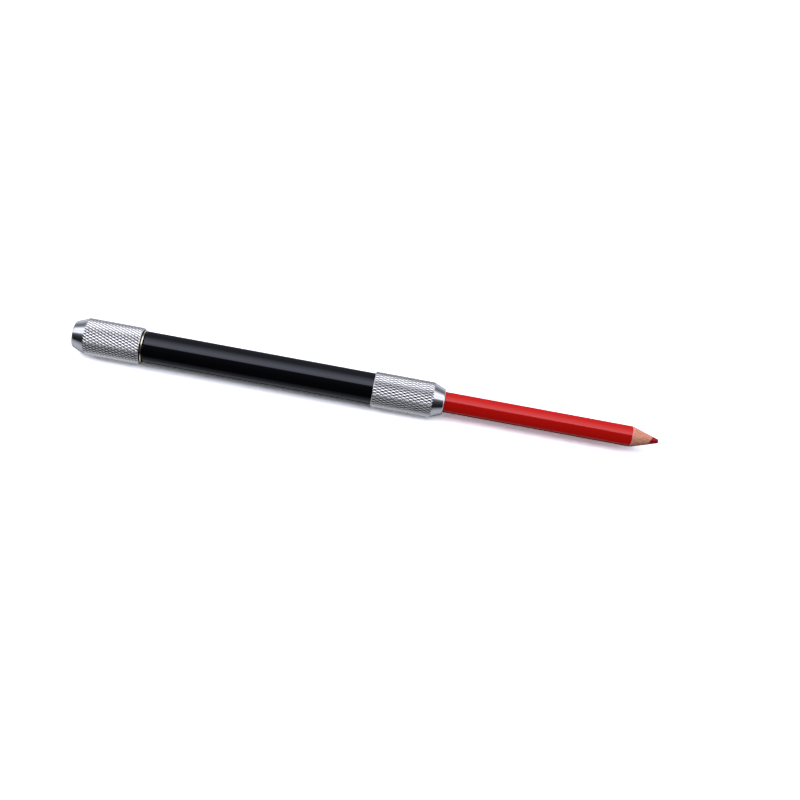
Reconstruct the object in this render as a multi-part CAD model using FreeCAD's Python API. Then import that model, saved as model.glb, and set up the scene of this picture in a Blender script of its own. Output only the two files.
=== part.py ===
"""A double-ended pencil extender with a pencil stub in its front end. Millimetres, +Z up.

A lacquered hexagonal wooden handle lies along X. A brass ferrule is glued into each end of it, with a thin
flange against the end face and an external thread. Each end has a loose split collet, whose ring slides in
the ferrule's bore, and a knurled screw sleeve. Screwing the sleeve on pushes the collet back into the
ferrule's flared mouth, and that closes three jaws on the pencil. The front end points along +X and holds the
pencil. The rear end points along -X, is empty and stands partly unscrewed, so that the ferrule's flange shows.

The origin is the middle of the handle's axis. One end is modelled in its own frame, with x = 0 at the
handle's end face and x growing towards the nose, closed on its pencil. Both ends are placed from that.
"""

import FreeCAD
import Part

import math
import os

from FreeCAD import Vector

X_AXIS = Vector(1, 0, 0)
Y_AXIS = Vector(0, 1, 0)
Z_AXIS = Vector(0, 0, 1)
ORIGIN = Vector(0, 0, 0)

# Handle
HANDLE_FLATS = 11.0
HANDLE_LENGTH = 82.0
HANDLE_EDGE_RADIUS = 0.8
HANDLE_CROWN_RADIUS = 9.8
HANDLE_END_RADIUS = 5.1
HANDLE_TAPER = 1.2
SHANK_BORE_DEPTH = 13.5

# Screw sleeve. The rear one is a little shorter and fatter than the front one.
FRONT_SLEEVE = {"radius": 6.3, "barrel": 20.8, "nose": 4.3, "nose_end_radius": 4.6}
REAR_SLEEVE = {"radius": 6.55, "barrel": 19.1, "nose": 4.8, "nose_end_radius": 4.7}
NOSE_BORE_RADIUS = 4.3
NOSE_LIP_BREAK = 0.12
SLEEVE_OVERLAP = 0.8
SLEEVE_END_BREAK = 0.2
MOUTH_RADIUS = 5.9
MOUTH_DEPTH = 1.7

# Thread between the sleeve and the ferrule
PITCH = 0.75
BARREL_RADIUS = 5.05
FERRULE_CREST_RADIUS = 5.46
SLEEVE_CREST_RADIUS = 5.11
SLEEVE_BORE_RADIUS = 5.55
FERRULE_THREAD_START = 1.5
FERRULE_THREAD_TURNS = 8
SLEEVE_THREAD_TURNS = 7
CREST_WIDTH = 0.09
FLANK_CLEARANCE = 0.06
FLANK = math.radians(30.0)
RIDGE_BITE = 0.04

# Ferrule
FLANGE_RADIUS = 5.75
FLANGE_THICKNESS = 0.4
FERRULE_FLOOR = 1.0
FERRULE_END = 10.0
SOCKET_RADIUS = 4.5
FLARE_START = 7.5
FLARE = math.radians(5.0)
SHANK_RADIUS = 3.25
SHANK_LENGTH = 13.0
GLUE_GAP = 0.05
GLUE_GROOVES = 4
GLUE_GROOVE_DEPTH = 0.35
GLUE_GROOVE_WIDTH = 0.9

# Collet
RING_START = 1.2
RING_END = 3.8
RING_BORE_RADIUS = 4.1
RING_RADIUS = 4.45
JAW_START = 4.0
JAW_LEAF_RADIUS = 4.43
JAW_HEAD_START = 10.1
JAW_HEAD_RADIUS = 4.8
JAW_GRIP_START = 12.0
JAW_GRIP_RADIUS = 3.94
JAW_END = 18.9
JAW_MOUTH_BREAK = 0.3
JAW_NOSE_BREAK = 0.15
SHOULDER_GAP = 0.1
JAWS = 3
SLOT_WIDTH = 0.8
TOP_JAW_ANGLE = 90.0

# How far each end stands open. The jaws turn about their roots, at the gap behind them.
REAR_OPEN_TRAVEL = 1.6
JAW_PIVOT_X = 3.9
JAW_PIVOT_RADIUS = 4.27
JAW_LEVER = 4.75

# Pencil
PENCIL_FLATS = 7.1
PENCIL_EDGE_RADIUS = 0.6
PENCIL_CROWN_RADIUS = 14.0
PENCIL_END_GAP = 0.3
PENCIL_SHOWN = 66.3
POINT_RADIUS = 3.74
POINT_HALF_ANGLE = math.radians(17.3)
SHOULDER_LENGTH = 0.12
LEAD_RADIUS = 1.6
LEAD_GAP = 0.02
TIP_RADIUS = 0.68
TIP_BREAK = 0.2


def turned(points):
    """The solid made by turning a closed outline of (x, radius) points about the X axis."""
    outline = [Vector(x, 0, r) for x, r in points]
    wire = Part.makePolygon(outline + outline[:1])
    return Part.Face(wire).revolve(ORIGIN, X_AXIS, 360)


def polar(radius, angle):
    """A point in the YZ plane, with the angle from +Y towards +Z."""
    return Vector(0, radius * math.cos(angle), radius * math.sin(angle))


def arc(centre, radius, start, end):
    """An arc in the YZ plane between two angles, as an edge."""
    points = [centre + polar(radius, a) for a in (start, (start + end) / 2, end)]
    return Part.Arc(*points).toShape()


def hexagonal_bar(flats, length, edge_radius, crown_radius):
    """A bar from x = 0, with slightly crowned flats, two of them facing +Z and -Z, and rounded long edges."""
    apothem = flats / 2
    half_turn = math.radians(30) - math.asin(0.5 * (crown_radius - apothem) / (crown_radius - edge_radius))
    edges = []
    for k in range(6):
        middle = math.radians(30 + 60 * k)
        flat_end = middle + half_turn
        centre = polar(apothem - crown_radius, middle)
        edges.append(arc(centre, crown_radius, middle - half_turn, flat_end))
        corner_centre = centre + polar(crown_radius - edge_radius, flat_end)
        edges.append(arc(corner_centre, edge_radius, flat_end, middle + math.radians(60) - half_turn))
    return Part.Face(Part.Wire(edges)).extrude(Vector(length, 0, 0))


def thread_ridge(first_x, turns, root_radius, root_width, crest_radius, crest_width):
    """A right-hand helical ridge round X, with its centre line starting at first_x."""
    outward = 1 if crest_radius > root_radius else -1
    base_radius = root_radius - outward * RIDGE_BITE
    base_width = root_width + 2 * RIDGE_BITE * math.tan(FLANK)
    section = [
        Vector(base_radius, 0, -base_width / 2),
        Vector(crest_radius, 0, -crest_width / 2),
        Vector(crest_radius, 0, crest_width / 2),
        Vector(base_radius, 0, base_width / 2),
    ]
    profile = Part.makePolygon(section + section[:1])
    helix = Part.makeHelix(PITCH, PITCH * turns, root_radius)
    ridge = Part.Wire(helix.Edges).makePipeShell([profile], True, True)
    ridge.rotate(ORIGIN, Y_AXIS, 90)
    ridge.translate(Vector(first_x, 0, 0))
    return ridge


def ferrule_ridge_width(radius):
    """Width of the ferrule's thread ridge along X at a radius."""
    return CREST_WIDTH + 2 * (FERRULE_CREST_RADIUS - radius) * math.tan(FLANK)


def sleeve_ridge_width(radius):
    """Width of the sleeve's ridge at a radius: what the ferrule's groove leaves, less the flank clearance."""
    return PITCH - ferrule_ridge_width(radius) - 2 * FLANK_CLEARANCE / math.cos(FLANK)


def one_solid(shape):
    """The only solid of a shape, cleaned of the seams that a fuse leaves."""
    solids = shape.removeSplitter().Solids
    if len(solids) != 1:
        raise ValueError(f"expected one solid, found {len(solids)}")
    return solids[0]


def handle():
    """The wooden handle, turned down a little at its ends, with a blind bore in each for a ferrule's shank."""
    bar = hexagonal_bar(HANDLE_FLATS, HANDLE_LENGTH, HANDLE_EDGE_RADIUS, HANDLE_CROWN_RADIUS)
    bar.translate(Vector(-HANDLE_LENGTH / 2, 0, 0))
    corner = HANDLE_FLATS / 2 / math.cos(math.pi / 6)
    end = HANDLE_LENGTH / 2
    envelope = turned([
        (-end, 0), (-end, HANDLE_END_RADIUS), (-end + HANDLE_TAPER, corner), (end - HANDLE_TAPER, corner),
        (end, HANDLE_END_RADIUS), (end, 0),
    ])
    bar = bar.common(envelope)
    bore = SHANK_RADIUS + GLUE_GAP
    drill_point = bore * math.tan(math.radians(31))
    for side in (-1, 1):
        bar = bar.cut(turned([
            (side * end, 0), (side * end, bore), (side * (end - SHANK_BORE_DEPTH), bore),
            (side * (end - SHANK_BORE_DEPTH - drill_point), 0),
        ]))
    return one_solid(bar)


def ferrule():
    """The brass ferrule: grooved glue shank, flange, threaded barrel and flared socket."""
    flare_radius = SOCKET_RADIUS + (FERRULE_END - FLARE_START) * math.tan(FLARE)
    body = turned([
        (-SHANK_LENGTH, 0), (-SHANK_LENGTH, SHANK_RADIUS - 0.4), (-SHANK_LENGTH + 0.4, SHANK_RADIUS),
        (0, SHANK_RADIUS), (0, FLANGE_RADIUS), (FLANGE_THICKNESS, FLANGE_RADIUS),
        (FLANGE_THICKNESS, BARREL_RADIUS), (FERRULE_END, BARREL_RADIUS), (FERRULE_END, flare_radius),
        (FLARE_START, SOCKET_RADIUS), (FERRULE_FLOOR, SOCKET_RADIUS), (FERRULE_FLOOR, 0),
    ])
    step = SHANK_LENGTH / (GLUE_GROOVES + 1)
    for k in range(1, GLUE_GROOVES + 1):
        middle = -k * step
        body = body.cut(turned([
            (middle - GLUE_GROOVE_WIDTH / 2, SHANK_RADIUS + 0.1), (middle, SHANK_RADIUS - GLUE_GROOVE_DEPTH),
            (middle + GLUE_GROOVE_WIDTH / 2, SHANK_RADIUS + 0.1),
        ]))
    ridge = thread_ridge(
        FERRULE_THREAD_START, FERRULE_THREAD_TURNS, BARREL_RADIUS, ferrule_ridge_width(BARREL_RADIUS),
        FERRULE_CREST_RADIUS, CREST_WIDTH,
    )
    return one_solid(body.fuse(ridge))


def sleeve(size):
    """A screw sleeve: plain barrel at the knurl's crest radius, conical nose, threaded bore and shoulder."""
    back = -SLEEVE_OVERLAP
    radius = size["radius"]
    nose_start = back + size["barrel"]
    nose_end = nose_start + size["nose"]
    lip_radius = size["nose_end_radius"]
    shoulder = JAW_END + SHOULDER_GAP
    body = turned([
        (back, MOUTH_RADIUS), (back, radius - SLEEVE_END_BREAK), (back + SLEEVE_END_BREAK, radius),
        (nose_start, radius), (nose_end - NOSE_LIP_BREAK, lip_radius),
        (nose_end, lip_radius - NOSE_LIP_BREAK), (nose_end, NOSE_BORE_RADIUS),
        (shoulder, NOSE_BORE_RADIUS), (shoulder, SLEEVE_BORE_RADIUS),
        (back + MOUTH_DEPTH, SLEEVE_BORE_RADIUS), (back + MOUTH_DEPTH, MOUTH_RADIUS),
    ])
    ridge = thread_ridge(
        FERRULE_THREAD_START + PITCH / 2, SLEEVE_THREAD_TURNS, SLEEVE_BORE_RADIUS,
        sleeve_ridge_width(SLEEVE_BORE_RADIUS), SLEEVE_CREST_RADIUS, sleeve_ridge_width(SLEEVE_CREST_RADIUS),
    )
    return one_solid(body.fuse(ridge))


def collet_ring():
    """The unslit ring at the back of the collet, which slides in the ferrule's socket."""
    return turned([
        (RING_START, RING_BORE_RADIUS), (RING_START, RING_RADIUS), (RING_END, RING_RADIUS),
        (RING_END, RING_BORE_RADIUS),
    ])


def collet_jaws():
    """The collet's jaws, as a list of solids: springy leaves that end in thick gripping heads."""
    head_foot = JAW_LEAF_RADIUS + (JAW_HEAD_START - FLARE_START) * math.tan(FLARE)
    body = turned([
        (JAW_START, RING_BORE_RADIUS), (JAW_START, JAW_LEAF_RADIUS), (FLARE_START, JAW_LEAF_RADIUS),
        (JAW_HEAD_START, head_foot), (JAW_HEAD_START + 0.3, JAW_HEAD_RADIUS),
        (JAW_END - JAW_NOSE_BREAK, JAW_HEAD_RADIUS), (JAW_END, JAW_HEAD_RADIUS - JAW_NOSE_BREAK),
        (JAW_END, JAW_GRIP_RADIUS + JAW_MOUTH_BREAK), (JAW_END - 2 * JAW_MOUTH_BREAK, JAW_GRIP_RADIUS),
        (JAW_GRIP_START, JAW_GRIP_RADIUS), (JAW_GRIP_START - 0.3, RING_BORE_RADIUS),
    ])
    for k in range(JAWS):
        slot = Part.makeBox(
            JAW_END, SLOT_WIDTH, 2 * JAW_HEAD_RADIUS, Vector(JAW_START - 1, -SLOT_WIDTH / 2, 0)
        )
        slot.rotate(ORIGIN, X_AXIS, TOP_JAW_ANGLE - 90 + (k + 0.5) * 360 / JAWS)
        body = body.cut(slot)
    if len(body.Solids) != JAWS:
        raise ValueError(f"the slots left {len(body.Solids)} jaws")
    return [next(s for s in body.Solids if in_jaw(s, k)) for k in range(JAWS)]


def jaw_direction(k):
    """The outward direction through the middle of jaw k."""
    angle = math.radians(TOP_JAW_ANGLE + k * 360 / JAWS)
    return Vector(0, math.cos(angle), math.sin(angle))


def in_jaw(solid, k):
    """Whether a solid lies in the middle of jaw k's place."""
    middle = Vector(0, solid.CenterOfMass.y, solid.CenterOfMass.z)
    return middle.getAngle(jaw_direction(k)) < 0.1


def opened(shape, travel):
    """A collet or sleeve piece moved along X as the sleeve is unscrewed by a travel."""
    moved = shape.copy()
    moved.translate(Vector(travel, 0, 0))
    return moved


def opened_sleeve(size, travel):
    """A sleeve unscrewed by a travel, turned so that the threads stay in mesh."""
    moved = sleeve(size)
    moved.rotate(ORIGIN, X_AXIS, 360 * travel / PITCH)
    return opened(moved, travel)


def opened_jaw(shape, k, travel):
    """Jaw k swung out about its root by what the flare allows at a travel, and carried along by it."""
    outward = jaw_direction(k)
    pivot = Vector(JAW_PIVOT_X, 0, 0) + outward * JAW_PIVOT_RADIUS
    swing = travel * math.tan(FLARE) / JAW_LEVER
    moved = shape.copy()
    moved.rotate(pivot, X_AXIS.cross(outward), math.degrees(swing))
    return opened(moved, travel)


def at_front(shape):
    """A shape from an end's own frame, placed at the handle's +X end."""
    placed = shape.copy()
    placed.translate(Vector(HANDLE_LENGTH / 2, 0, 0))
    return placed


def at_rear(shape):
    """A shape from an end's own frame, turned half a turn about Z to the handle's -X end."""
    placed = shape.copy()
    placed.translate(Vector(HANDLE_LENGTH / 2, 0, 0))
    placed.rotate(ORIGIN, Z_AXIS, 180)
    return placed


def end_parts(name, place, sleeve_size, travel):
    """Every piece of one end, standing open by a travel."""
    parts = {
        f"{name}_ferrule": place(ferrule()),
        f"{name}_collet_ring": place(opened(collet_ring(), travel)),
        f"{name}_knurled_sleeve": place(opened_sleeve(sleeve_size, travel)),
    }
    for k, jaw in enumerate(collet_jaws()):
        parts[f"{name}_collet_jaw_{k + 1}"] = place(opened_jaw(jaw, k, travel))
    return parts


def pencil_parts():
    """The pencil stub: two glued half casings round a lead, sharpened to a worn point."""
    back = HANDLE_LENGTH / 2 + FERRULE_FLOOR + PENCIL_END_GAP
    front_nose_end = HANDLE_LENGTH / 2 - SLEEVE_OVERLAP + FRONT_SLEEVE["barrel"] + FRONT_SLEEVE["nose"]
    shoulder = front_nose_end + PENCIL_SHOWN
    slope = math.tan(POINT_HALF_ANGLE)
    apex = shoulder + POINT_RADIUS / slope
    lead_shows = apex - LEAD_RADIUS / slope
    tip = apex - TIP_RADIUS / slope
    corner = PENCIL_FLATS / 2 / math.cos(math.pi / 6)
    bar = hexagonal_bar(PENCIL_FLATS, lead_shows - back, PENCIL_EDGE_RADIUS, PENCIL_CROWN_RADIUS)
    bar.translate(Vector(back, 0, 0))
    sharpened = turned([
        (back, LEAD_RADIUS), (back, corner), (shoulder - SHOULDER_LENGTH, corner), (shoulder, POINT_RADIUS),
        (lead_shows, LEAD_RADIUS),
    ])
    casing = bar.common(sharpened)
    half = Part.makeBox(tip - back, 2 * corner, corner, Vector(back, -corner, 0))
    lead = turned([
        (back, 0), (back, LEAD_RADIUS - LEAD_GAP), (lead_shows + LEAD_GAP / slope, LEAD_RADIUS - LEAD_GAP),
        (tip - TIP_BREAK, TIP_RADIUS + TIP_BREAK * slope), (tip, TIP_RADIUS - TIP_BREAK), (tip, 0),
    ])
    return {
        "pencil_upper_casing": one_solid(casing.common(half)),
        "pencil_lower_casing": one_solid(casing.cut(half)),
        "pencil_lead": one_solid(lead),
    }


def main():
    parts = {"hex_handle": handle()}
    parts.update(end_parts("front", at_front, FRONT_SLEEVE, 0.0))
    parts.update(end_parts("rear", at_rear, REAR_SLEEVE, REAR_OPEN_TRAVEL))
    parts.update(pencil_parts())
    os.makedirs("parts", exist_ok=True)
    for name, shape in parts.items():
        if not shape.isValid():
            raise ValueError(f"{name} isn't a valid shape")
        shape.exportStep(f"parts/{name}.step")


main()
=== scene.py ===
"""Looks for the double-ended pencil extender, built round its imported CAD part.

Metres in the row frame: +X to the pencil's point, +Z up, the origin in the middle of the handle's axis.
Shapes are worked out in millimetres and scaled when their meshes are made.
"""

import math

import bpy
import numpy as np
from mathutils import Matrix, Vector


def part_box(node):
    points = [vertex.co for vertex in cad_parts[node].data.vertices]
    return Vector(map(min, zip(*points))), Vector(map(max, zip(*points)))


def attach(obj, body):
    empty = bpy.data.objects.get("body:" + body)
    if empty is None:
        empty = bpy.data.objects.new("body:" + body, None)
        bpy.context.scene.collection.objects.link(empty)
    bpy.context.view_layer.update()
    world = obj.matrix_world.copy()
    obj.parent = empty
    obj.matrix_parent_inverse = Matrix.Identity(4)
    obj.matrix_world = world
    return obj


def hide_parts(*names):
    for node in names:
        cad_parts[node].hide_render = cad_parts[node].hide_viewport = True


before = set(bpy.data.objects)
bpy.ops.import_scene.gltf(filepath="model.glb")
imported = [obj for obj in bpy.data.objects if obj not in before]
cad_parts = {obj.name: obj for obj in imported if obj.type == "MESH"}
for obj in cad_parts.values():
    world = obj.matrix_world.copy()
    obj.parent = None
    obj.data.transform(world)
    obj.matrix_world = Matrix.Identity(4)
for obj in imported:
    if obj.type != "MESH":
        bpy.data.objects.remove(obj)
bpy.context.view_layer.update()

MM = 0.001
TAU = 2 * math.pi


def millimetres(metres):
    """A length in millimetres, to the nearest hundredth."""
    return round(metres / MM, 2)


# Handle
HANDLE_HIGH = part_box("hex_handle")[1]
HALF_LENGTH = millimetres(HANDLE_HIGH.x)
HANDLE_HEXAGON = {
    "flats": 2 * millimetres(HANDLE_HIGH.z), "edge_radius": 0.8, "crown_radius": 9.8,
    "flat_points": 13, "arc_points": 9,
}
END_RADIUS = 5.1
END_TAPER = 1.2
END_ROUNDING = 0.2
END_DROP = 0.12
END_STATIONS = (0.0, 0.06, 0.2, 0.4, 0.6, 0.8, 1.0, 1.2, 1.4, 2.0)
MIDDLE_INSET = 4.0
MIDDLE_STATIONS = 20
SHANK_BORE_RADIUS = 3.3
SHANK_BORE_DEPTH = 13.5
DRILL_POINT = 2.0
NEARLY_CLOSED = 0.02

# What both sleeves share, in a frame of their own with x = 0 at the handle's end face
SLEEVE_OVERLAP = 0.8
SLEEVE_BORE = 5.55
MOUTH_RADIUS = 5.9
MOUTH_DEPTH = 1.7
MOUTH_ROUNDING = 0.2
MOUTH_EDGE_LENGTH, MOUTH_EDGE_HEIGHT = 0.05, 0.06
CORNER_ROUNDING = 0.2
NOSE_BORE = 4.3
SHOULDER = 19.0
LIP_BEVEL = 0.25
LIP_EDGE = 0.04
BORE_EDGE = 0.1

# Knurl: nearly straight-sided pyramids, left by two crossing sets of grooves
KNURL_ROUNDING = 1.35
KNURL_STEP = 0.07
KNURL_RUN_OUT = 1.0
COLUMNS_PER_START = 16
CONE_STATIONS = 14

# Pencil. The sharpener's cone starts where it cuts a radius of its own, steeply above that radius.
PENCIL_LOW, PENCIL_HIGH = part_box("pencil_upper_casing")
PENCIL_BACK = millimetres(PENCIL_LOW.x)
PENCIL_FLATS = 2 * millimetres(PENCIL_HIGH.z)
PENCIL_HEXAGON = {
    "flats": PENCIL_FLATS, "edge_radius": 0.6, "crown_radius": 14.0, "flat_points": 11, "arc_points": 9,
}
POINT_SLOPE = math.tan(math.radians(17.3))
CUT_RADIUS = 3.74
CUT_SLOPE = 3.0
TIP_RADIUS = 0.68
TIP_X = millimetres(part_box("pencil_lead")[1].x)
CUT_X = round(TIP_X - (CUT_RADIUS - TIP_RADIUS) / POINT_SLOPE, 2)

# Lacquer film and the primer under it, both cut ragged and a little askew
COAT = 0.06
CUT_TILT = 0.12
CUT_RAGGEDNESS = 0.07
CUT_SMOOTHING = 5
CUT_SCALLOP = 0.16
FILM_SHARES = (*np.linspace(0, 0.98, 30), 0.99, 0.995, 0.9985, 0.9995)
PRIMER_DEPTH = 0.035
PRIMER_SHOWN = 0.42
PRIMER_LIFT = 0.012
PRIMER_SHIFT = 7

# Wood and core. The core sits off the axis, and its worn tip has a small flat face.
WOOD_CLEARANCE = 0.005
SPLIT_GAP, SPLIT_MARGIN = 0.0006, 0.004
BARREL_STATIONS, BARREL_REST = 12, 0.3
TRIM_STATIONS, TRIM_FROM, TRIM_TO = 30, -0.2, 1.2
CONE_SHARES = np.linspace(0.02, 1, 30)
CORE_BORE = 1.6
CORE_OFFSET = 0.25
CORE_OFFSET_ANGLE = math.radians(220.0)
BORE_CLEARANCE = 0.004
CORE_CLEARANCE = 0.02
CORE_COLUMNS = 96
CORE_SINK = 0.01
CORE_SHARES = np.linspace(0.01, 1, 28)
CORE_WAVES = range(2, 14)
CORE_UNEVENNESS = 0.0072
TIP_WEAR = 0.25
TIP_REACH = 0.2
TIP_TURNS = np.radians(np.linspace(12, 90, 9))
TIP_FLAT = 0.55
TIP_SLANT = 0.05
TIP_SLANT_ANGLE = 2.2
TIP_FACE_RADIUS, TIP_FACE_SLANT, TIP_FACE_CROWN = 0.25, 0.3, 0.01


def sleeve_size(node, nose, lip, starts, grooves):
    """A sleeve's sizes. Its place, length and radius are read off the CAD part.

    The nose is the cone's length with its bevel, and the lip its radius where the bevel starts. The knurl has
    a number of starts, and each of its two sets of grooves has a helix slope and a depth.
    """
    low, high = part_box(node)
    mouth, tip = sorted((abs(millimetres(low.x)), abs(millimetres(high.x))))
    return {
        "radius": millimetres(high.z), "barrel": round(tip - mouth - nose, 2), "nose": nose, "lip": lip,
        "travel": round(mouth + SLEEVE_OVERLAP - HALF_LENGTH, 2), "starts": starts, "grooves": grooves,
    }


FRONT_SLEEVE = sleeve_size(
    "front_knurled_sleeve", nose=4.3, lip=4.6, starts=38, grooves=((-0.449, 0.205), (0.367, 0.205)),
)
REAR_SLEEVE = sleeve_size(
    "rear_knurled_sleeve", nose=4.8, lip=4.7, starts=39, grooves=((-0.462, 0.245), (0.462, 0.155)),
)


# Mesh building


def add_mesh(name, rows, faces, sharp_angle):
    """A mesh from rows of points in millimetres, smooth but for edges sharper than an angle in degrees."""
    points = np.concatenate(rows) * MM
    mesh = bpy.data.meshes.new(name)
    mesh.from_pydata(points.tolist(), [], faces)
    mesh.validate()
    mesh.shade_smooth()
    mesh.set_sharp_from_angle(angle=math.radians(sharp_angle))
    made = bpy.data.objects.new(name, mesh)
    bpy.context.scene.collection.objects.link(made)
    return made


def strip_faces(rows, columns, closed_rows):
    """Quads over rows of columns points each. Columns close on themselves, and rows do too if asked."""
    row = np.arange(rows if closed_rows else rows - 1)[:, None]
    column = np.arange(columns)[None, :]
    next_row = (row + 1) % rows
    next_column = (column + 1) % columns
    corners = [
        row * columns + column, row * columns + next_column,
        next_row * columns + next_column, next_row * columns + column,
    ]
    return np.stack(corners, -1).reshape(-1, 4).tolist()


def ring_points(x, radius, theta):
    """Points at arrays of x, radius and angle, with the angle from +Y towards +Z."""
    x, radius, theta = np.broadcast_arrays(x, radius, theta)
    return np.stack([x, radius * np.cos(theta), radius * np.sin(theta)], -1)


def set_groove(made, values):
    """How deep in a groove each point is, from 0 to 1, for the knurl's material to read."""
    attribute = made.data.attributes.new("groove", "FLOAT", "POINT")
    attribute.data.foreach_set("value", values.ravel().astype(np.float32))


def finish_piece(made, body, replaced, materials, second_faces=None):
    """Gives a piece its materials and its place in the frame. Marked faces take the second material."""
    for material in materials:
        made.data.materials.append(material)
    if second_faces is not None:
        made.data.polygons.foreach_set("material_index", second_faces.ravel().astype(np.int32))
    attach(made, body)
    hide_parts(*replaced)


def polar(length, angle):
    """Points in the YZ plane at a distance and an angle."""
    return length * np.stack([np.cos(angle), np.sin(angle)], -1)


def hexagon_outline(flats, edge_radius, crown_radius, flat_points, arc_points):
    """Angles and radii of a hexagon with crowned flats, one at the top and one below, and rounded edges."""
    shift = flats / 2 - crown_radius
    half_turn = math.radians(30) + math.asin(0.5 * shift / (crown_radius - edge_radius))
    flat_turns = np.linspace(-half_turn, half_turn, flat_points)
    edge_turns = np.linspace(half_turn, math.radians(60) - half_turn, arc_points + 2)[1:-1]
    points = []
    for k in range(6):
        middle = math.radians(30 + 60 * k)
        flat_centre = polar(shift, middle)
        edge_centre = flat_centre + polar(crown_radius - edge_radius, middle + half_turn)
        points.append(flat_centre + polar(crown_radius, middle + flat_turns))
        points.append(edge_centre + polar(edge_radius, middle + edge_turns))
    y, z = np.concatenate(points).T
    return np.unwrap(np.arctan2(z, y)), np.hypot(y, z)


# Knurled sleeves


def knurl_depth(x, theta, size):
    """Depth below the crest circle, in millimetres, over a diamond knurl."""
    depth = np.zeros(np.broadcast(x, theta).shape)
    for slope, full_depth in size["grooves"]:
        phase = size["starts"] * (theta + slope * x / size["radius"]) / TAU
        share = np.abs(2 * (phase - np.floor(phase)) - 1)
        depth = np.maximum(depth, full_depth * share**KNURL_ROUNDING)
    return depth


def sleeve_profile(size):
    """The sleeve's turned outline as (x, radius) points: outside from mouth to lip, then back inside."""
    back = -SLEEVE_OVERLAP
    nose_start = back + size["barrel"]
    nose_end = nose_start + size["nose"]
    fine_end = nose_start + KNURL_RUN_OUT
    fine_x = np.arange(back + MOUTH_ROUNDING, fine_end, KNURL_STEP)
    cone_x = np.linspace(fine_end, nose_end - LIP_BEVEL, CONE_STATIONS)
    slope = (size["radius"] - size["lip"]) / (size["nose"] - LIP_BEVEL)
    mouth = size["radius"] - MOUTH_ROUNDING
    outer = [(back, mouth - MOUTH_EDGE_HEIGHT), (back + MOUTH_EDGE_LENGTH, mouth)]
    for x in np.concatenate([fine_x, cone_x]):
        past_corner = CORNER_ROUNDING * math.log1p(math.exp((x - nose_start) / CORNER_ROUNDING))
        outer.append((x, size["radius"] - past_corner * slope))
    outer.append((nose_end - LIP_EDGE, size["lip"] - LIP_BEVEL + LIP_EDGE))
    outer.append((nose_end, size["lip"] - LIP_BEVEL - LIP_EDGE / 2))
    inner = [
        (nose_end - 0.75 * LIP_EDGE, NOSE_BORE + LIP_EDGE / 2), (nose_end - BORE_EDGE, NOSE_BORE),
        (SHOULDER + BORE_EDGE, NOSE_BORE), (SHOULDER, NOSE_BORE + BORE_EDGE), (SHOULDER, SLEEVE_BORE),
        (back + MOUTH_DEPTH, SLEEVE_BORE), (back + MOUTH_DEPTH, MOUTH_RADIUS),
        (back + BORE_EDGE, MOUTH_RADIUS), (back, MOUTH_RADIUS + BORE_EDGE),
    ]
    return outer, inner


def knurled_sleeve(name, size, place):
    """A screw sleeve whose diamond knurl runs out on the cone, and which of its faces are smooth."""
    outer, inner = sleeve_profile(size)
    profile = np.array(outer + inner)
    columns = size["starts"] * COLUMNS_PER_START
    theta = (np.arange(columns) * TAU / columns)[None, :]
    x, radius = profile[:, :1], np.repeat(profile[:, 1:], columns, axis=1)
    depth = knurl_depth(x, theta, size)
    outside = np.arange(len(profile))[:, None] < len(outer)
    cut = outside & (size["radius"] - depth < radius)
    radius = np.where(cut, size["radius"] - depth, radius)
    rows = place(ring_points(x + size["travel"], radius, theta))
    made = add_mesh(name, rows, strip_faces(len(profile), columns, True), 50.0)
    deepest = max(full_depth for _, full_depth in size["grooves"])
    set_groove(made, np.where(cut, depth / deepest, 0.0))
    smooth = ~cut & (~outside | (x > size["barrel"] - SLEEVE_OVERLAP))
    return made, smooth


def at_front(points):
    """Points from an end's own frame, moved to the handle's +X end."""
    return points + np.array([HALF_LENGTH, 0, 0])


def at_rear(points):
    """Points from an end's own frame, turned half a turn about Z to the handle's -X end."""
    return at_front(points) * np.array([-1, -1, 1])


# Handle and pencil


def handle_bar():
    """The lacquered hexagonal bar, with turned-down ends and the bores for the ferrules' shanks."""
    theta, flat_radius = hexagon_outline(**HANDLE_HEXAGON)
    half = HALF_LENGTH
    near_end = np.array(END_STATIONS)
    middle = np.linspace(-half + MIDDLE_INSET, half - MIDDLE_INSET, MIDDLE_STATIONS)
    stations = np.concatenate([-half + near_end, middle, half - near_end[::-1]])
    corner = HANDLE_HEXAGON["flats"] / 2 / math.cos(math.pi / 6)
    inset = half - np.abs(stations)
    taper = END_RADIUS + (corner - END_RADIUS) * np.minimum(inset / END_TAPER, 1)
    taper -= END_DROP * np.clip(1 - inset / END_ROUNDING, 0, 1) ** 2
    radius = np.minimum(flat_radius[None, :], taper[:, None])
    rows = [ring_points(x, r, theta) for x, r in zip(stations, radius)]
    bore_end = half - SHANK_BORE_DEPTH
    inside = [
        (half, SHANK_BORE_RADIUS), (bore_end, SHANK_BORE_RADIUS), (bore_end - DRILL_POINT, NEARLY_CLOSED),
        (-bore_end + DRILL_POINT, NEARLY_CLOSED), (-bore_end, SHANK_BORE_RADIUS), (-half, SHANK_BORE_RADIUS),
    ]
    rows += [ring_points(x, r, theta) for x, r in inside]
    return add_mesh("lacquered_handle", rows, strip_faces(len(rows), len(theta), True), 35.0)


def cut_x(radius):
    """Where the sharpener's cone cuts a pencil surface of a given radius."""
    steep = CUT_X - (radius - CUT_RADIUS) / CUT_SLOPE
    shallow = CUT_X + (CUT_RADIUS - radius) / POINT_SLOPE
    return np.where(radius > CUT_RADIUS, steep, shallow)


def cone_radius(x):
    """Radius of the sharpener's cone at x."""
    steep = CUT_RADIUS + (CUT_X - x) * CUT_SLOPE
    shallow = CUT_RADIUS - (x - CUT_X) * POINT_SLOPE
    return np.where(x < CUT_X, steep, shallow)


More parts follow.
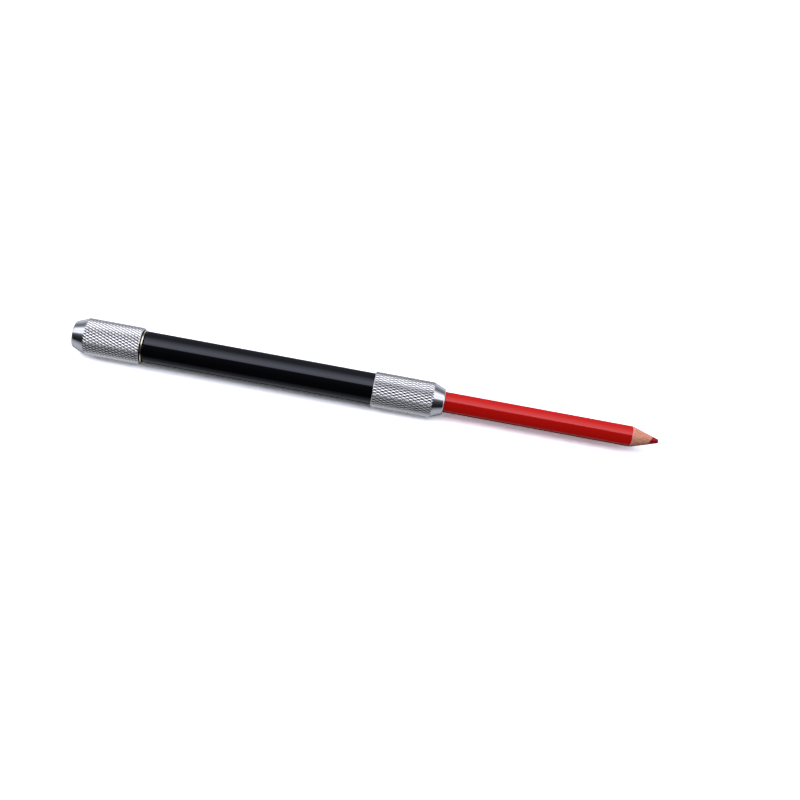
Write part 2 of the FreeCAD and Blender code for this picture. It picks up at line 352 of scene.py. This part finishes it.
def pencil_coat():
    """The red lacquer film, trimmed by the sharpener, and which of its faces are the primer beyond it."""
    theta, radius = hexagon_outline(**PENCIL_HEXAGON)
    rng = np.random.default_rng(11)
    noise = rng.normal(0, CUT_RAGGEDNESS, len(theta) + CUT_SMOOTHING - 1)
    ragged = np.convolve(noise, np.ones(CUT_SMOOTHING) / CUT_SMOOTHING, "valid")
    scallop = CUT_SCALLOP * (CUT_RADIUS - radius) / (CUT_RADIUS - PENCIL_FLATS / 2)
    ends = CUT_X + scallop + ragged - CUT_TILT * np.cos(theta - CORE_OFFSET_ANGLE)
    band_ends = ends + PRIMER_SHOWN + np.roll(ragged, PRIMER_SHIFT)
    rows = []
    for share in FILM_SHARES:
        x = PENCIL_BACK + (ends - PENCIL_BACK) * share
        rows.append(ring_points(x, np.minimum(radius, cone_radius(x)), theta))
    film_rows = len(rows)
    for x in (ends, (ends + band_ends) / 2, band_ends):
        rows.append(ring_points(x, np.minimum(radius - PRIMER_DEPTH, cone_radius(x) + PRIMER_LIFT), theta))
    for x in (band_ends, (PENCIL_BACK + ends) / 2, np.full(len(theta), PENCIL_BACK)):
        rows.append(ring_points(x, np.minimum(radius, cone_radius(x)) - COAT, theta))
    made = add_mesh("pencil_lacquer", rows, strip_faces(len(rows), len(theta), True), 40.0)
    face_rows = np.repeat(np.arange(len(rows)), len(theta))
    primed = (face_rows >= film_rows) & (face_rows < len(rows) - 1)
    return made, primed


def core_distance(theta):
    """Distance from the pencil's axis to the core's bore, which sits a little off that axis."""
    along = CORE_OFFSET * np.cos(theta - CORE_OFFSET_ANGLE)
    across = CORE_OFFSET * np.sin(theta - CORE_OFFSET_ANGLE)
    return along + np.sqrt(CORE_BORE**2 - across**2)


def pencil_wood(name, first_angle):
    """One of the two glued halves of the casing, with its groove for the core and its share of the cone."""
    theta, radius = hexagon_outline(**PENCIL_HEXAGON)
    turned = np.mod(theta - first_angle, TAU)
    inside_half = turned[(turned > SPLIT_MARGIN) & (turned < math.pi - SPLIT_MARGIN)]
    angles = first_angle + np.concatenate([[SPLIT_GAP], np.sort(inside_half), [math.pi - SPLIT_GAP]])
    surface = np.interp(angles, theta, radius, period=TAU) - COAT - WOOD_CLEARANCE
    bore = core_distance(angles)
    ends = cut_x(bore + BORE_CLEARANCE)
    barrel = np.linspace(PENCIL_BACK, CUT_X - BARREL_REST, BARREL_STATIONS)
    trim = CUT_X + np.linspace(TRIM_FROM, TRIM_TO, TRIM_STATIONS)
    stations = [np.full(len(angles), x) for x in np.concatenate([barrel, trim])]
    stations += [trim[-1] + (ends - trim[-1]) * share for share in CONE_SHARES]
    rows = []
    for x in stations:
        outside = ring_points(x, np.minimum(surface, cone_radius(x)), angles)
        inside = ring_points(x[::-1], bore[::-1], angles[::-1])
        rows.append(np.concatenate([outside, inside]))
    columns = 2 * len(angles)
    faces = strip_faces(len(rows), columns, False)
    last = (len(rows) - 1) * columns
    for i in range(len(angles) - 1):
        j = columns - 1 - i
        faces.append([i, j, j - 1, i + 1])
        faces.append([last + i, last + i + 1, last + j - 1, last + j])
    return add_mesh(name, rows, faces, 40.0)


def pencil_core():
    """The waxy core: a rod, then its share of the cone, with a worn and slightly slanted tip."""
    theta = np.arange(CORE_COLUMNS) * TAU / CORE_COLUMNS
    bore = core_distance(theta)
    shows = cut_x(bore)
    tip = float(cut_x(np.array(TIP_RADIUS)))
    wear_x = tip - TIP_WEAR
    wear_radius = float(cone_radius(np.array(wear_x)))
    rng = np.random.default_rng(5)
    facets = sum(
        rng.normal(0, CORE_UNEVENNESS) * np.cos(wave * theta + rng.uniform(0, TAU)) for wave in CORE_WAVES
    )
    slant = TIP_SLANT * np.cos(theta - TIP_SLANT_ANGLE)
    rod = bore - CORE_CLEARANCE
    rows = [ring_points(x, r, theta) for x, r in (
        (PENCIL_BACK, NEARLY_CLOSED), (PENCIL_BACK, rod), (shows - BORE_EDGE, rod),
    )]
    for share in CORE_SHARES:
        x = shows + (wear_x - shows) * share
        rows.append(ring_points(x, cone_radius(x) * (1 + facets * share) - CORE_SINK, theta))
    for turn in TIP_TURNS:
        radius = wear_radius * (TIP_FLAT + (1 - TIP_FLAT) * math.cos(turn))
        rows.append(ring_points(wear_x + (TIP_REACH + slant) * math.sin(turn), radius * (1 + facets), theta))
    face_x = wear_x + TIP_REACH
    rows.append(ring_points(face_x + TIP_FACE_SLANT * slant, TIP_FACE_RADIUS, theta))
    rows.append(ring_points(face_x + TIP_FACE_CROWN, NEARLY_CLOSED / 2, theta))
    faces = strip_faces(len(rows), CORE_COLUMNS, False)
    last = (len(rows) - 1) * CORE_COLUMNS
    faces.append(list(range(CORE_COLUMNS))[::-1])
    faces.append(list(range(last, last + CORE_COLUMNS)))
    return add_mesh("pencil_core", rows, faces, 40.0)


# Materials

# How strongly the floor returns light. To the camera it is burnt out, and more so close under the object,
# where little within reach is open: painted light that lifts the shadow there. To reflections it carries
# painted shade that depends on the distance across it, in millimetres, darker towards the camera's side
# and under the object.
FLOOR_GAIN_OPEN, FLOOR_GAIN_UNDER = 1.9, 3.3
FLOOR_OPENNESS_UNDER, FLOOR_OPENNESS_OPEN = 0.56, 0.76
FLOOR_REACH = 30 * MM
FLOOR_PAINTED_SHADE = (
    (-70.0, 0.02), (-44.0, 0.13), (-30.0, 0.31), (-20.0, 0.52), (-12.0, 0.75), (-6.0, 0.80), (-2.5, 0.25),
    (3.0, 0.25), (9.0, 0.92),
)
PAINTED_SHADE_REACH = 80.0
FLOOR_BOUNCE = (0.35, 0.35, 0.35)
# Painted shade on the ferrules' brass, inside the radius where the thread starts
GAP_SHADE_RADIUS, GAP_SHADE_FADE = 5.56, 0.12
GAP_SHADE_REACH = 10.0
WHITE = (1.0, 1.0, 1.0)
BLACK = (0.0, 0.0, 0.0)


class Nodes:
    """A node tree that grows one call at a time. A value is a number, a colour or another node's output."""

    def __init__(self, tree):
        self.tree = tree

    def add(self, kind, **settings):
        """A new node with some of its settings."""
        node = self.tree.nodes.new(kind)
        for key, value in settings.items():
            setattr(node, key, value)
        return node

    def set(self, socket, value):
        """Fills an input."""
        if isinstance(value, bpy.types.NodeSocket):
            self.tree.links.new(value, socket)
        elif hasattr(value, "__len__") and len(value) == 3 and len(socket.default_value) == 4:
            socket.default_value = (*value, 1.0)
        else:
            socket.default_value = value

    def fill(self, node, **inputs):
        """Sets a node's inputs by name, with underscores for spaces."""
        for key, value in inputs.items():
            self.set(node.inputs[key.replace("_", " ")], value)
        return node

    def ramp(self, value, *stops):
        """A value read off straight lines between (position, number or colour) stops in rising order."""
        node = self.fill(self.add("ShaderNodeValToRGB"), Fac=value)
        elements = node.color_ramp.elements
        elements.remove(elements[1])
        elements[0].position = stops[0][0]
        for index, (position, colour) in enumerate(stops):
            element = elements.new(position) if index else elements[0]
            element.color = (*colour, 1.0) if hasattr(colour, "__len__") else (colour, colour, colour, 1.0)
        return node.outputs["Color"]

    def mix(self, share, first, second):
        """A colour between two others. The node's colour inputs are 6 and 7, and its colour output is 2."""
        node = self.add("ShaderNodeMix", data_type="RGBA")
        for index, value in ((0, share), (6, first), (7, second)):
            self.set(node.inputs[index], value)
        return node.outputs[2]

    def maths(self, operation, first, second=0.0, third=0.0):
        """One step of arithmetic."""
        node = self.add("ShaderNodeMath", operation=operation)
        for socket, value in zip(node.inputs, (first, second, third)):
            self.set(socket, value)
        return node.outputs[0]

    def split(self, vector):
        """The X, Y and Z parts of a vector."""
        node = self.fill(self.add("ShaderNodeSeparateXYZ"), Vector=vector)
        return node.outputs["X"], node.outputs["Y"], node.outputs["Z"]

    def ray(self, kind):
        """1 for rays of a kind and 0 for others."""
        return self.add("ShaderNodeLightPath").outputs[f"Is {kind} Ray"]

    def seen_as(self, shader, camera_shader):
        """One shader for the camera and another for every other ray."""
        node = self.add("ShaderNodeMixShader")
        for socket, value in zip(node.inputs, (self.ray("Camera"), shader, camera_shader)):
            self.set(socket, value)
        return node.outputs[0]


class Shader(Nodes):
    """A principled material."""

    def __init__(self, name):
        self.material = bpy.data.materials.new(name)
        self.material.use_nodes = True
        super().__init__(self.material.node_tree)
        self.principled = self.tree.nodes["Principled BSDF"]
        self.coordinates = self.add("ShaderNodeTexCoord").outputs["Object"]

    def stretched(self, scale, twist=0.0):
        """Object coordinates scaled by a vector, so that a texture can run along or round the axis."""
        node = self.fill(self.add("ShaderNodeMapping"), Vector=self.coordinates, Scale=scale)
        return self.fill(node, Rotation=(twist, 0.0, 0.0)).outputs["Vector"]

    def noise(self, scale, detail=4.0, roughness=0.55, vector=None):
        """A noise texture's value, with its scale in features a metre."""
        node = self.fill(self.add("ShaderNodeTexNoise"), Vector=vector or self.coordinates, Scale=scale)
        return self.fill(node, Detail=detail, Roughness=roughness).outputs["Fac"]

    def stretched_noise(self, scale, detail, roughness):
        """A noise texture's value, with its scale a vector in features a metre."""
        return self.noise(1.0, detail, roughness, self.stretched(scale))

    def scratches(self, vector, width):
        """Thin lines, 1 on a scratch and 0 elsewhere, along the cell edges of a stretched Voronoi."""
        node = self.add("ShaderNodeTexVoronoi", feature="DISTANCE_TO_EDGE")
        self.fill(node, Vector=vector, Scale=1.0)
        return self.ramp(node.outputs["Distance"], (0.0, 1.0), (width, 0.0))

    def bounced_as(self, colour, bounced):
        """A colour, and another in its place for light that bounces on to other surfaces."""
        return self.mix(self.ray("Diffuse"), colour, bounced)

    def off_axis(self):
        """Distance from the X axis, in metres."""
        _, y, z = self.split(self.coordinates)
        return self.maths("SQRT", self.maths("MULTIPLY_ADD", y, y, self.maths("MULTIPLY", z, z)))

    def bump(self, height, distance, strength=1.0, normal=None):
        """A normal tipped by a height map, on top of another bump if one is given."""
        node = self.fill(self.add("ShaderNodeBump"), Height=height, Distance=distance, Strength=strength)
        if normal is not None:
            self.fill(node, Normal=normal)
        return node.outputs["Normal"]

    def finish(self, **inputs):
        """The material, with its principled inputs set by name."""
        self.fill(self.principled, **inputs)
        return self.material


def lacquer(name, colour, deep_colour, bounced, glint, peel):
    """Thick gloss lacquer: a faint orange peel, hairline scratches along the bar and patchy handling marks.

    The colour bounced on to other surfaces is given apart, and glint tints the reflections.
    """
    s = Shader(name)
    patches = s.noise(90.0, 3.0, 0.6)
    lines = s.scratches(s.stretched((35.0, 900.0, 900.0), 0.3), 0.02)
    faint = s.ramp(s.noise(140.0, 2.0), (0.5, 0.0), (0.62, 1.0))
    lines = s.maths("MULTIPLY", lines, faint)
    smudge = s.ramp(patches, (0.35, 0.0), (0.75, 1.0))
    rough = s.maths("MULTIPLY_ADD", smudge, 0.06, 0.05)
    rough = s.maths("MULTIPLY_ADD", lines, 0.12, rough)
    orange_peel = s.bump(s.noise(700.0, 2.0, 0.4), peel)
    normal = s.bump(s.noise(60.0, 1.0, 0.4), peel * 4, 0.6, orange_peel)
    seen = s.mix(s.noise(50.0), colour, deep_colour)
    base = s.bounced_as(seen, bounced)
    return s.finish(Base_Color=base, Specular_Tint=glint, Roughness=rough, IOR=1.6, Normal=normal)


def knurled_aluminium():
    """Bright knurled aluminium: burnished crests, and groove floors painted dark, partly for packed dirt and
    partly as painted shade in the deep grooves.
    """
    s = Shader("knurled_aluminium")
    groove = s.add("ShaderNodeAttribute", attribute_name="groove").outputs["Fac"]
    grit = s.noise(4000.0, 3.0, 0.7)
    held = s.ramp(s.noise(350.0), (0.3, 0.75), (0.7, 1.0))
    # Painted shade and dirt: the deepest part of each groove is painted nearly black
    dirt_and_groove_shade = s.maths("MULTIPLY", s.ramp(groove, (0.68, 0.0), (0.86, 1.0)), held)
    colour = s.mix(dirt_and_groove_shade, (0.97, 0.96, 0.955), (0.012, 0.012, 0.014))
    rough = s.maths("MULTIPLY_ADD", groove, 0.05, 0.04)
    rough = s.maths("MULTIPLY_ADD", grit, 0.03, rough)
    return s.finish(Base_Color=colour, Metallic=1.0, Roughness=rough, Normal=s.bump(grit, 0.000008, 0.4))


def turned_metal(name, colour, worn_colour, rough, mark, shaded_gap=False):
    """Metal turned on a lathe: fine rings round the axis, a few nicks and faint stains.

    With the flag set, a piece is painted dark inside the radius where its thread starts: painted shade for
    the gap between its flange and the sleeve's mouth.
    """
    s = Shader(name)
    rings = s.stretched_noise((9000.0, 60.0, 60.0), 4.0, 0.7)
    coarse = s.stretched_noise((1800.0, 25.0, 25.0), 2.0, 0.5)
    stains = s.ramp(s.noise(260.0, 5.0, 0.6), (0.45, 0.0), (0.8, 1.0))
    nicks = s.scratches(s.stretched((420.0, 160.0, 300.0), 0.7), 0.015)
    roughness = s.maths("MULTIPLY_ADD", rings, 0.10, rough)
    roughness = s.maths("MULTIPLY_ADD", stains, 0.08, roughness)
    height = s.maths("ADD", rings, s.maths("MULTIPLY_ADD", nicks, -0.6, s.maths("MULTIPLY", coarse, 0.8)))
    base = s.mix(stains, colour, worn_colour)
    # Painted shade: dark brass inside the thread's radius, for the shaded gap beside the flange
    if shaded_gap:
        share = s.maths("MULTIPLY", s.off_axis(), 1 / (GAP_SHADE_REACH * MM))
        edges = (GAP_SHADE_RADIUS / GAP_SHADE_REACH, (GAP_SHADE_RADIUS + GAP_SHADE_FADE) / GAP_SHADE_REACH)
        unshaded = s.ramp(share, (edges[0], 0.0), (edges[1], 1.0))
        base = s.mix(unshaded, (0.035, 0.028, 0.018), base)
    return s.finish(Base_Color=base, Metallic=1.0, Roughness=roughness, Normal=s.bump(height, mark, 0.7))


def primer():
    """The pale primer under the red lacquer, where the sharpener has cut the film away."""
    s = Shader("pale_primer")
    tone = s.mix(s.noise(900.0, 3.0), (1.0, 0.58, 0.48), (1.0, 0.40, 0.32))
    normal = s.bump(s.noise(3000.0), 0.00001)
    return s.finish(Base_Color=tone, Roughness=0.45, Specular_IOR_Level=0.15, Normal=normal)


def cedar():
    """Sharpened cedar: long grain, darker pores and the sharpener's fine rings."""
    s = Shader("sharpened_cedar")
    grain = s.stretched_noise((130.0, 2100.0, 2100.0), 6.0, 0.62)
    bands = s.stretched_noise((60.0, 520.0, 520.0), 2.0, 0.5)
    pores = s.ramp(s.stretched_noise((420.0, 6500.0, 6500.0), 3.0, 0.7), (0.6, 0.0), (0.74, 1.0))
    cuts = s.stretched_noise((3800.0, 120.0, 120.0), 2.0, 0.5)
    pale = s.mix(s.ramp(bands, (0.3, 0.0), (0.7, 1.0)), (1.0, 0.56, 0.38), (1.0, 0.42, 0.28))
    colour = s.mix(s.ramp(grain, (0.42, 0.0), (0.66, 1.0)), pale, (0.78, 0.26, 0.145))
    colour = s.mix(s.maths("MULTIPLY", pores, 0.55), colour, (0.36, 0.085, 0.045))
    height = s.maths("MULTIPLY_ADD", grain, 0.8, s.maths("MULTIPLY_ADD", pores, -0.8, cuts))
    colour = s.bounced_as(colour, (0.34, 0.25, 0.24))
    rough = s.maths("MULTIPLY_ADD", grain, 0.2, 0.5)
    return s.finish(
        Base_Color=colour, Roughness=rough, Specular_IOR_Level=0.2, Normal=s.bump(height, 0.00003, 0.8),
        Subsurface_Weight=0.06, Subsurface_Radius=(0.0006, 0.0003, 0.0002), Subsurface_Scale=0.5,
    )


def coloured_core():
    """Dark red wax and pigment, burnished in streaks by the sharpener and by paper."""
    s = Shader("red_core")
    streaks = s.stretched_noise((500.0, 2600.0, 2600.0), 4.0, 0.6)
    grains = s.noise(9000.0, 3.0, 0.7)
    colour = s.mix(streaks, (0.27, 0.001, 0.002), (0.56, 0.003, 0.006))
    rough = s.maths("MULTIPLY_ADD", grains, 0.2, 0.2)
    normal = s.bump(s.maths("ADD", streaks, grains), 0.00002, 0.7)
    return s.finish(Base_Color=colour, Roughness=rough, Specular_IOR_Level=0.25, Normal=normal)


def pale_floor():
    """White paper, burnt out for the camera, and more so close under the object: painted light that lifts its
    shadow there.

    In reflections it carries painted shade, darker towards the camera's side and under the object. It bounces
    little light.
    """
    s = Shader("pale_paper")
    across = s.maths("MULTIPLY_ADD", s.split(s.coordinates)[1], 1 / (2 * PAINTED_SHADE_REACH * MM), 0.5)
    # Painted shade for reflections, darker towards the camera's side and under the object
    stops = [(0.5 + y / (2 * PAINTED_SHADE_REACH), strength) for y, strength in FLOOR_PAINTED_SHADE]
    tone = s.mix(s.noise(8.0, 3.0), (0.97, 0.97, 0.97), WHITE)
    colour = s.mix(s.ramp(across, *stops), BLACK, s.bounced_as(tone, FLOOR_BOUNCE))
    normal = s.bump(s.noise(1500.0), 0.00001)
    paper = s.finish(Base_Color=colour, Roughness=0.7, Specular_IOR_Level=0.0, Normal=normal)
    # Painted light: the camera sees the floor brighter where little is open round it, lifting the shadow
    # under the object
    openness = s.fill(s.add("ShaderNodeAmbientOcclusion", samples=8), Distance=FLOOR_REACH)
    under = s.ramp(openness.outputs["AO"], (FLOOR_OPENNESS_UNDER, 1.0), (FLOOR_OPENNESS_OPEN, 0.0))
    gain = s.maths("MULTIPLY_ADD", under, FLOOR_GAIN_UNDER - FLOOR_GAIN_OPEN, FLOOR_GAIN_OPEN)
    burnt_out = s.fill(s.add("ShaderNodeBsdfDiffuse"), Color=gain)
    shown = s.seen_as(s.principled.outputs[0], burnt_out.outputs[0])
    s.fill(s.tree.nodes["Material Output"], Surface=shown)
    return paper


# Pieces

black = lacquer(
    "black_lacquer", (0.0010, 0.0010, 0.0016), (0.0016, 0.0016, 0.0024), (0.002, 0.002, 0.002),
    (0.86, 0.88, 1.0), 0.000002,
)
red = lacquer(
    "red_lacquer", (0.86, 0.010, 0.006), (0.80, 0.008, 0.004), (0.98, 0.11, 0.13), WHITE, 0.0000025,
)
aluminium = turned_metal("turned_aluminium", (0.67, 0.675, 0.70), (0.60, 0.60, 0.62), 0.03, 0.000003)
brass = turned_metal("turned_brass", (0.92, 0.84, 0.62), (0.82, 0.70, 0.44), 0.12, 0.000006, shaded_gap=True)
collet_brass = turned_metal("collet_brass", (0.80, 0.64, 0.36), (0.62, 0.47, 0.25), 0.2, 0.000008)
knurl_metals = (knurled_aluminium(), aluminium)
wood = cedar()

finish_piece(handle_bar(), "handle", ["hex_handle"], [black])
for end, size, place in (("front", FRONT_SLEEVE, at_front), ("rear", REAR_SLEEVE, at_rear)):
    sleeve, smooth = knurled_sleeve(f"{end}_sleeve_knurled", size, place)
    node = f"{end}_knurled_sleeve"
    finish_piece(sleeve, f"{end}_sleeve", [node], knurl_metals, smooth)
coat, primed = pencil_coat()
casings = ["pencil_upper_casing", "pencil_lower_casing"]
finish_piece(coat, "pencil", casings, (red, primer()), primed)
for half_name, first_angle in (("upper", 0.0), ("lower", math.pi)):
    half = pencil_wood(f"pencil_wood_{half_name}", first_angle)
    finish_piece(half, "pencil", [f"pencil_{half_name}_casing"], [wood])
finish_piece(pencil_core(), "pencil", ["pencil_lead"], [coloured_core()])

for name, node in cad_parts.items():
    if node.hide_render:
        continue
    is_ferrule = "ferrule" in name
    node.data.materials.clear()
    node.data.materials.append(brass if is_ferrule else collet_brass)


# Stage, camera and light

# The floor touches the rear sleeve at its mouth, and the front one where its barrel ends
REAR_TOUCH_X = SLEEVE_OVERLAP - HALF_LENGTH - REAR_SLEEVE["travel"]
FRONT_TOUCH_X = HALF_LENGTH - SLEEVE_OVERLAP + FRONT_SLEEVE["barrel"]
FLOOR_HALF_SIDE = 2.0
CAMERA_FOOT_X = 50.1 * MM
CAMERA_DISTANCE = 419.5 * MM
CAMERA_DROP = 2.14 * MM
CAMERA_ELEVATION = math.radians(52.0)
CAMERA_ROLL = math.radians(10.47)
LENS, SENSOR = 54.0, 36.0
CLIP_NEAR, CLIP_FAR = 0.01, 20.0

# Radiance of the studio against the angle round X in degrees, from the camera's side over the top
STUDIO = (
    (0.0, 0.02), (14.0, 0.022), (31.0, 0.05), (40.0, 0.07), (48.0, 0.13), (56.0, 0.22), (63.0, 0.5),
    (68.5, 1.5), (82.0, 1.5), (90.0, 1.25), (98.0, 1.6), (107.0, 1.7), (116.0, 1.2), (122.0, 0.85),
    (126.0, 0.66), (130.0, 0.34), (140.0, 0.22), (156.0, 0.27), (168.0, 0.50), (180.0, 0.70),
)
STUDIO_PEAK = max(radiance for _, radiance in STUDIO)
STUDIO_TINT = (0.95, 0.97, 1.08)
END_PANEL_FROM = 0.84
END_PANEL_COLOUR = (0.9, 0.9, 0.95)


def lay_floor():
    """A flat sheet that touches both sleeves, the rear one being a little fatter than the front one."""
    slope = (REAR_SLEEVE["radius"] - FRONT_SLEEVE["radius"]) / (FRONT_TOUCH_X - REAR_TOUCH_X)
    points = []
    for x, y in ((-1, -1), (1, -1), (1, 1), (-1, 1)):
        x, y = x * FLOOR_HALF_SIDE, y * FLOOR_HALF_SIDE
        points.append((x, y, slope * (x - REAR_TOUCH_X * MM) - REAR_SLEEVE["radius"] * MM))
    mesh = bpy.data.meshes.new("floor")
    mesh.from_pydata(points, [], [(0, 1, 2, 3)])
    mesh.materials.append(pale_floor())
    floor = bpy.data.objects.new("floor", mesh)
    bpy.context.scene.collection.objects.link(floor)


def set_camera():
    """Looks down across the axis, rolled so that the axis falls to the right."""
    tilt, roll = CAMERA_ELEVATION, CAMERA_ROLL
    back = Vector((0, -math.cos(tilt), math.sin(tilt)))
    rise = Vector((0, math.sin(tilt), math.cos(tilt)))
    along = Vector((1, 0, 0))
    right = along * math.cos(roll) + rise * math.sin(roll)
    up = rise * math.cos(roll) - along * math.sin(roll)
    data = bpy.data.cameras.new("camera")
    data.lens, data.sensor_width = LENS, SENSOR
    data.clip_start, data.clip_end = CLIP_NEAR, CLIP_FAR
    camera = bpy.data.objects.new("camera", data)
    place = Matrix((right, up, back)).transposed().to_4x4()
    place.translation = along * CAMERA_FOOT_X + back * CAMERA_DISTANCE - rise * CAMERA_DROP
    camera.matrix_world = place
    bpy.context.scene.collection.objects.link(camera)
    bpy.context.scene.camera = camera


def light_studio():
    """Soft light from all round: a dark camera side, a softbox overhead, a dim far wall and an end panel."""
    world = bpy.data.worlds.new("studio")
    bpy.context.scene.world = world
    world.use_nodes = True
    world.node_tree.nodes.clear()
    n = Nodes(world.node_tree)
    x, y, z = n.split(n.add("ShaderNodeTexCoord").outputs["Generated"])
    share = n.maths("DIVIDE", n.maths("ARCTAN2", z, n.maths("MULTIPLY", y, -1.0)), math.pi)
    stops = []
    for degrees, radiance in STUDIO:
        stops.append((degrees / 180, [radiance / STUDIO_PEAK * tint for tint in STUDIO_TINT]))
    panel = n.add("ShaderNodeMapRange", interpolation_type="SMOOTHSTEP")
    n.fill(panel, Value=x, From_Min=END_PANEL_FROM)
    light = n.mix(panel.outputs["Result"], n.ramp(share, *stops), END_PANEL_COLOUR)
    studio = n.fill(n.add("ShaderNodeBackground"), Color=light, Strength=STUDIO_PEAK)
    backdrop = n.fill(n.add("ShaderNodeBackground"), Color=WHITE)
    shown = n.seen_as(studio.outputs[0], backdrop.outputs[0])
    n.fill(n.add("ShaderNodeOutputWorld"), Surface=shown)


lay_floor()
set_camera()
light_studio()
bpy.context.scene.view_settings.view_transform = "Standard"
